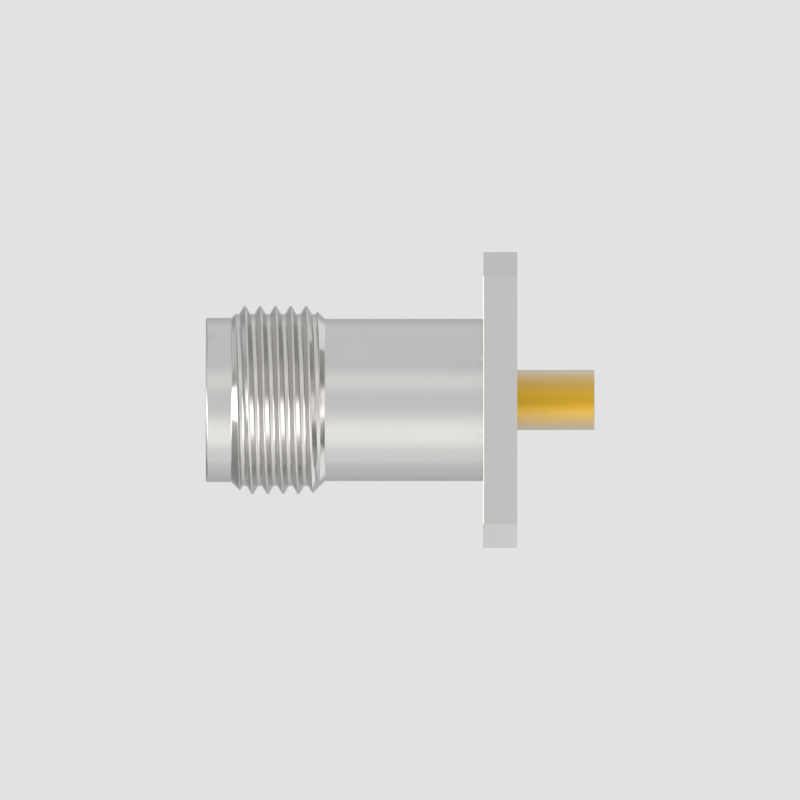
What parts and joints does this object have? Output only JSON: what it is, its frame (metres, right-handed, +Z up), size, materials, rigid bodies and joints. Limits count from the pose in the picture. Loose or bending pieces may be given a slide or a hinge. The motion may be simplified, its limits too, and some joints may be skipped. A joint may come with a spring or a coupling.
{
  "type": "tnc connector",
  "caption": "Threaded coaxial jack for a panel, with a plain round barrel, a square flange with screw holes, and a gold sleeve behind it for a thin cable.",
  "frame": {"origin": "centre of the flange's rear face, on the connector's axis", "axes": "+X along the connector's axis towards the cable end, +Z up along a side of the flange"},
  "size_m": [0.023, 0.0176, 0.0176],
  "materials": {
    "body_metal": "satin, finely turned",
    "insulator": "matte, waxy white",
    "gold_plate": "satin gold plate on brass"
  },
  "bodies": {
    "root": {"body": "body_metal", "front_insulator": "insulator", "rear_insulator": "insulator", "centre_contact": "gold_plate", "cable_sleeve": "gold_plate"}
  },
  "joints": []
}
